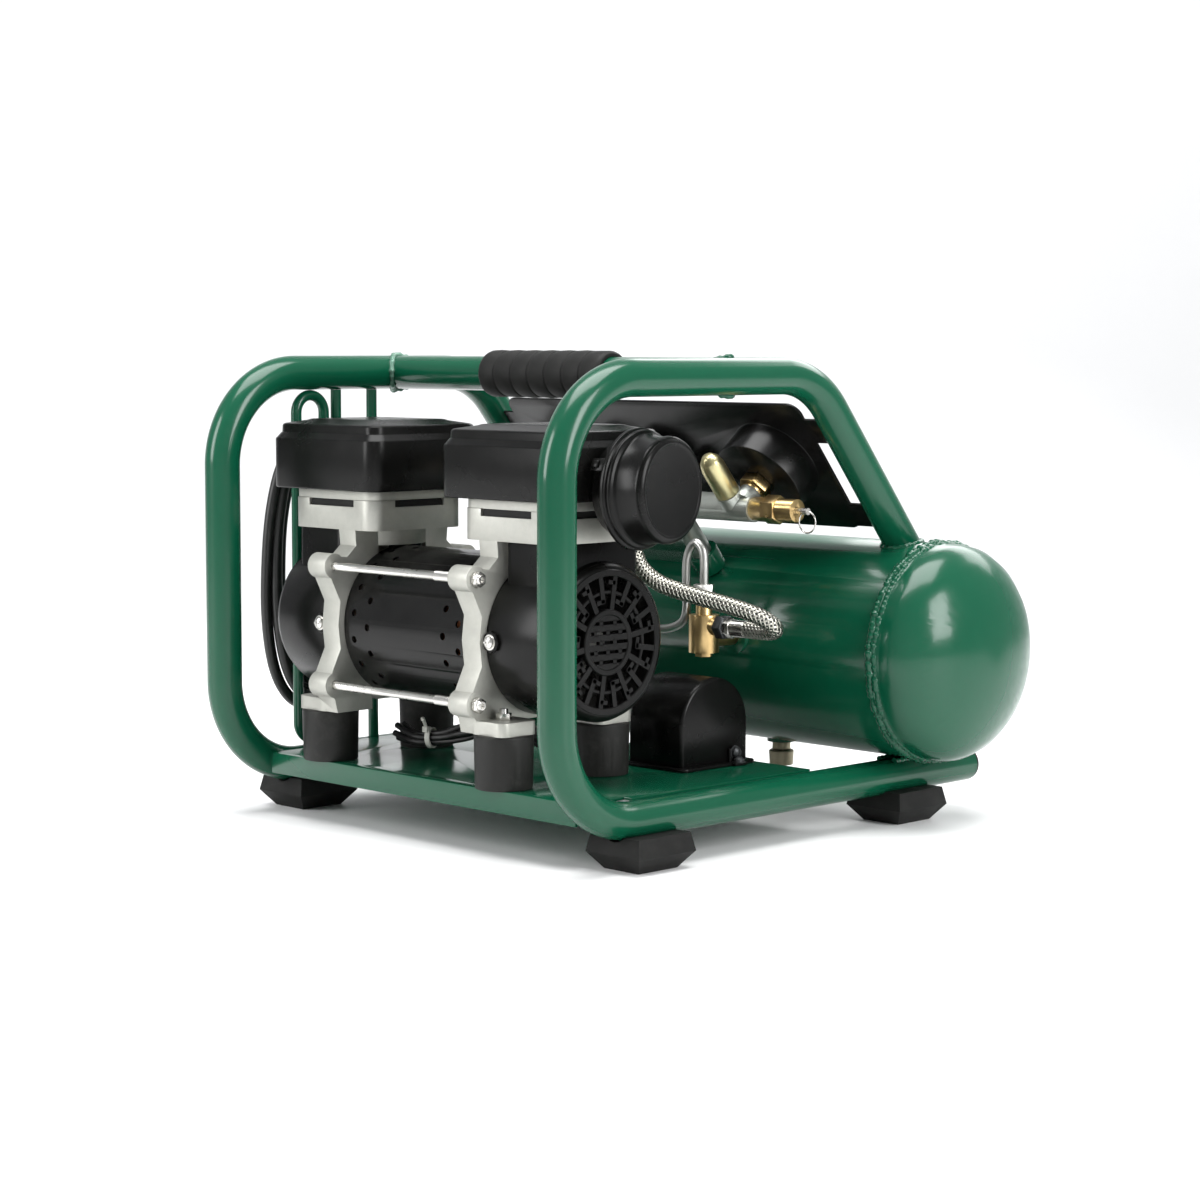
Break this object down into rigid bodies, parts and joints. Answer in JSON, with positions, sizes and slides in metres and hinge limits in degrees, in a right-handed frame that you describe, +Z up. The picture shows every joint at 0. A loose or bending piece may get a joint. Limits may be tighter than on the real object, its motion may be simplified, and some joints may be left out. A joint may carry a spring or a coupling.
{
  "type": "air compressor",
  "caption": "Portable oil-free air compressor: motor-driven pistons fill a lying air tank inside a tube frame with a carrying grip, a sloped control panel and a wound power cord.",
  "frame": {"origin": "on the floor, under the centre of the machine's bounding box", "axes": "+X from the left side frame to the right one, +Y from the pump to the tank, +Z up"},
  "size_m": [0.51, 0.4488, 0.3407],
  "materials": {
    "green_paint": "glossy forest green paint",
    "black_plastic": "satin black moulded plastic",
    "gloss_black": "semi-gloss black moulded plastic",
    "black_paint": "black paint on rolled steel",
    "cast_aluminium": "raw die-cast aluminium",
    "steel": "zinc-plated steel",
    "brass": "turned brass",
    "dark_rubber": "dark rubber",
    "grey_rubber": "dark grey-brown moulded rubber",
    "cord_skin": "black cord jacket",
    "braid": "stainless wire braid",
    "clear_pipe": "drawn aluminium tube",
    "paper": "pleated paper and felt",
    "copper": "enamelled copper winding on laminated steel",
    "needle_red": "red paint",
    "gauge_face": "bright rim with a white dial",
    "wire": "black wire sleeve",
    "nylon": "black nylon"
  },
  "bodies": {
    "cage": {"base_plate": "green_paint", "braided_hose": "braid", "capacitor": "black_plastic", "capacitor_box": "black_plastic", "check_valve": "brass", "control_panel": "black_paint", "cord_hank": "cord_skin", "cord_rack": "green_paint", "coupler_body": "steel", "crankcase_left": "cast_aluminium", "crankcase_right": "cast_aluminium", "cylinder_liners": "cast_aluminium", "drain_valve_body": "brass", "end_cowl_left": "gloss_black", "fan_cowl_right": "gloss_black", "filter_canister": "gloss_black", "filter_element": "paper", "frame_fasteners": "steel", "handle_grip": "dark_rubber", "handle_tube": "green_paint", "head_cover_left": "gloss_black", "head_cover_right": "gloss_black", "left_side_frame": "green_paint", "manifold": "brass", "motor_shell": "black_paint", "pipe_fittings": "brass", "power_cord": "cord_skin", "power_plug": "cord_skin", "pressure_gauges": "gauge_face", "pump_fasteners": "steel", "rail_end_plugs": "black_plastic", "regulator_bonnet": "brass", "right_side_frame": "green_paint", "rubber_feet": "dark_rubber", "safety_valve_body": "brass", "shaft_bearings": "steel", "stator": "copper", "strain_relief": "cord_skin", "switch_housing": "black_plastic", "tank_head_left": "green_paint", "tank_head_right": "green_paint", "tank_shell": "green_paint", "unload_tube": "clear_pipe", "valve_plates": "cast_aluminium", "vibration_mounts": "grey_rubber", "wiring_harness": "wire", "zip_tie": "nylon"},
    "crank": {"rotor": "steel", "motor_shaft": "steel", "fan_left": "black_plastic", "fan_right": "black_plastic"},
    "left_piston": {"piston_left": "cast_aluminium"},
    "right_piston": {"piston_right": "cast_aluminium"},
    "pressure_knob": {"regulator_knob": "black_plastic"},
    "rocker": {"power_rocker": "gloss_black"},
    "tank_pointer": {"tank_needle": "needle_red"},
    "outlet_pointer": {"outlet_needle": "needle_red"},
    "sleeve": {"coupler_sleeve": "brass"},
    "relief_stem": {"safety_valve_stem": "steel"},
    "drain": {"drain_knob": "brass"}
  },
  "joints": [
    {"name": "crank_spin", "type": "hinge", "parent": "cage", "child": "crank", "pos_m": [-0.015, -0.1217, 0.1455], "axis": [1, 0, 0], "continuous": true},
    {"name": "left_piston_slide", "type": "slide", "parent": "cage", "child": "left_piston", "axis": [0, 0, 1], "range_m": [-0.006, 0.006]},
    {"name": "right_piston_slide", "type": "slide", "parent": "cage", "child": "right_piston", "axis": [0, 0, 1], "range_m": [-0.006, 0.006]},
    {"name": "pressure_knob_turn", "type": "hinge", "parent": "cage", "child": "pressure_knob", "pos_m": [0.022, 0.08651, 0.26134], "axis": [0, 0.7683, 0.6401], "range_deg": [-360, 360]},
    {"name": "rocker_tilt", "type": "hinge", "parent": "cage", "child": "rocker", "pos_m": [-0.116, 0.07959, 0.25558], "axis": [1, 0, 0], "range_deg": [-8, 8]},
    {"name": "tank_needle_turn", "type": "hinge", "parent": "cage", "child": "tank_pointer", "pos_m": [-0.07, 0.08359, 0.25891], "axis": [0, 0.7683, 0.6401], "range_deg": [-270, 0]},
    {"name": "outlet_needle_turn", "type": "hinge", "parent": "cage", "child": "outlet_pointer", "pos_m": [-0.022, 0.08359, 0.25891], "axis": [0, 0.7683, 0.6401], "range_deg": [-270, 0]},
    {"name": "sleeve_slide", "type": "slide", "parent": "cage", "child": "sleeve", "axis": [0, -0.7683, -0.6401], "range_m": [0, 0.005], "stiffness_N_per_m": 400, "springref_m": -0.004},
    {"name": "relief_pull", "type": "slide", "parent": "cage", "child": "relief_stem", "axis": [1, 0, 0], "range_m": [0, 0.003], "stiffness_N_per_m": 600, "springref_m": -0.004},
    {"name": "drain_turn", "type": "hinge", "parent": "cage", "child": "drain", "pos_m": [0.052, 0.1443, 0.03], "axis": [0, 0, 1], "range_deg": [0, 360]}
  ]
}
